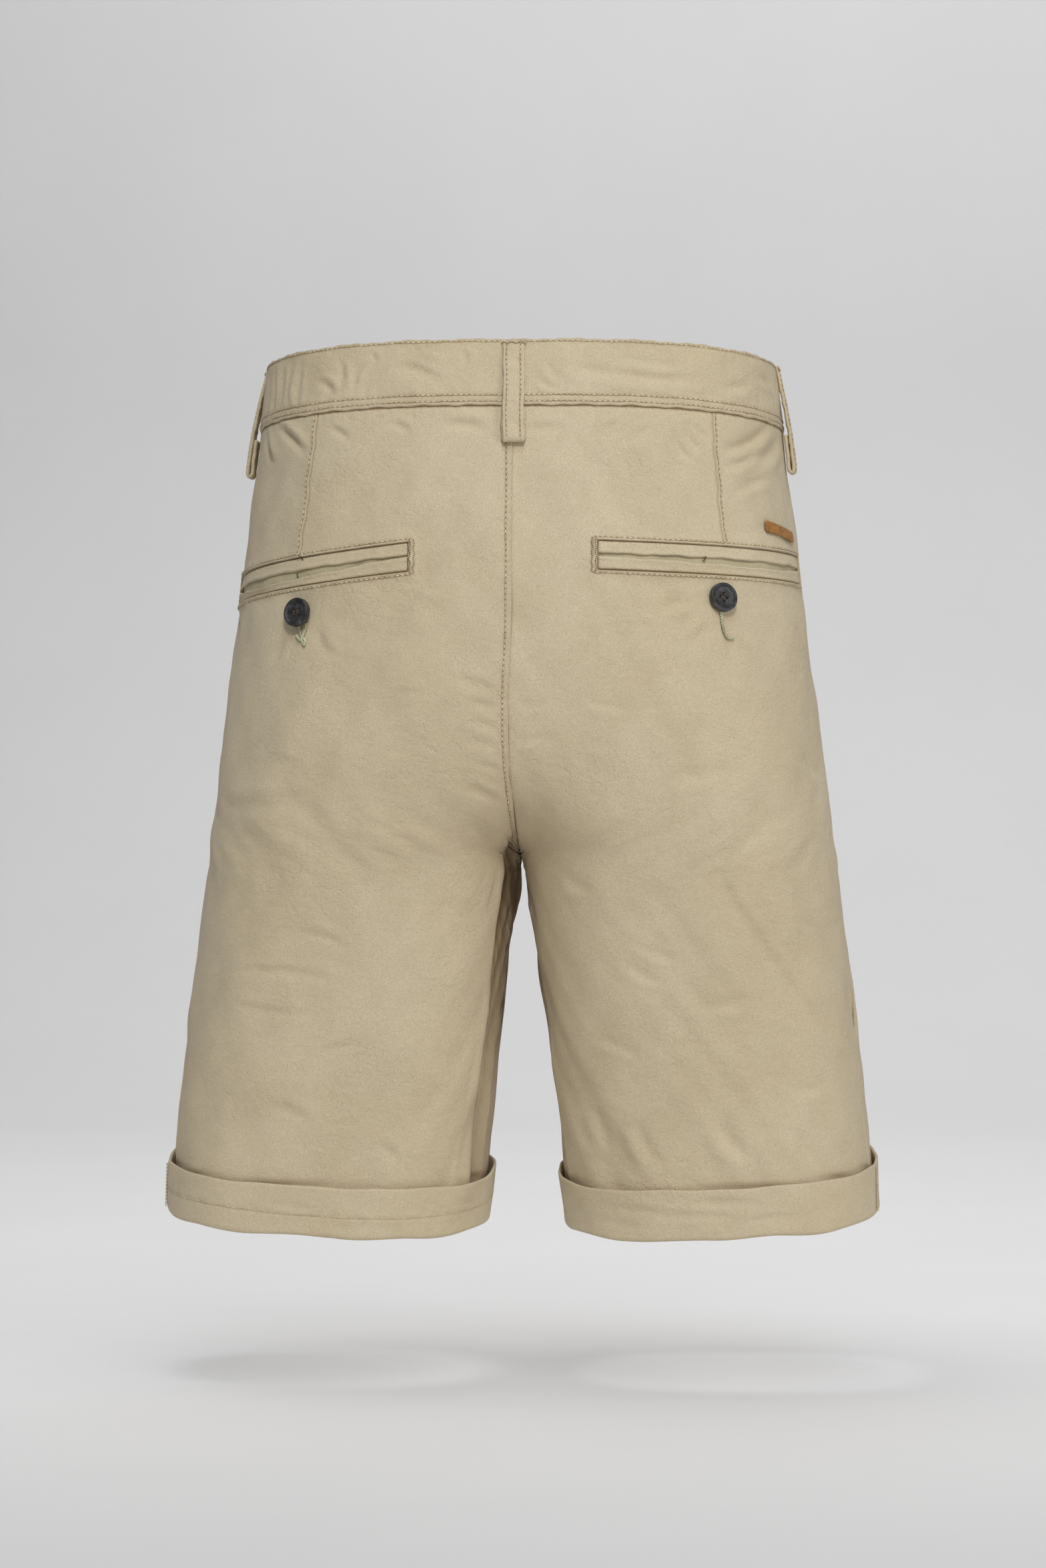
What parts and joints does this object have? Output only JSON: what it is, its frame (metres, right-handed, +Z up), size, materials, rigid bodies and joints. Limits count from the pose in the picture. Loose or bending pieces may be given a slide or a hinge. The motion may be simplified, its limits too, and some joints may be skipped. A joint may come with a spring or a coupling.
{
  "type": "bermuda shorts",
  "caption": "Knee-length cotton shorts with turn-ups, belt loops and buttoned welt pockets at the back, filled out in the hollow shape of a wearer.",
  "frame": {"origin": "centre of the waist opening, level with the waistband's top edge at the sides, where the wearer's waist holds the shorts", "axes": "+Z up out of the waist opening, +Y towards the wearer's back, +X towards the wearer's left"},
  "size_m": [0.4302, 0.2384, 0.5263],
  "materials": {
    "cotton": "matte plain-woven cotton, lightly creased",
    "leather": "smooth brown leather",
    "horn": "dark grey plastic button",
    "brass": "plain zip teeth and tape as one strip"
  },
  "bodies": {
    "root": {"back_left": "cotton", "back_right": "cotton", "front_left": "cotton", "front_right": "cotton", "waistband_left": "cotton", "waistband_right": "cotton", "turn_up_left": "cotton", "turn_up_right": "cotton", "loop_back": "cotton", "loop_side_left": "cotton", "loop_side_right": "cotton", "loop_front_left": "cotton", "loop_front_right": "cotton", "welt_top_left": "cotton", "welt_top_right": "cotton", "welt_low_left": "cotton", "welt_low_right": "cotton", "facing_left": "cotton", "facing_right": "cotton", "fly_shield": "cotton", "zip": "brass", "label": "leather", "button_left": "horn", "button_right": "horn", "button_waist": "horn"}
  },
  "joints": []
}
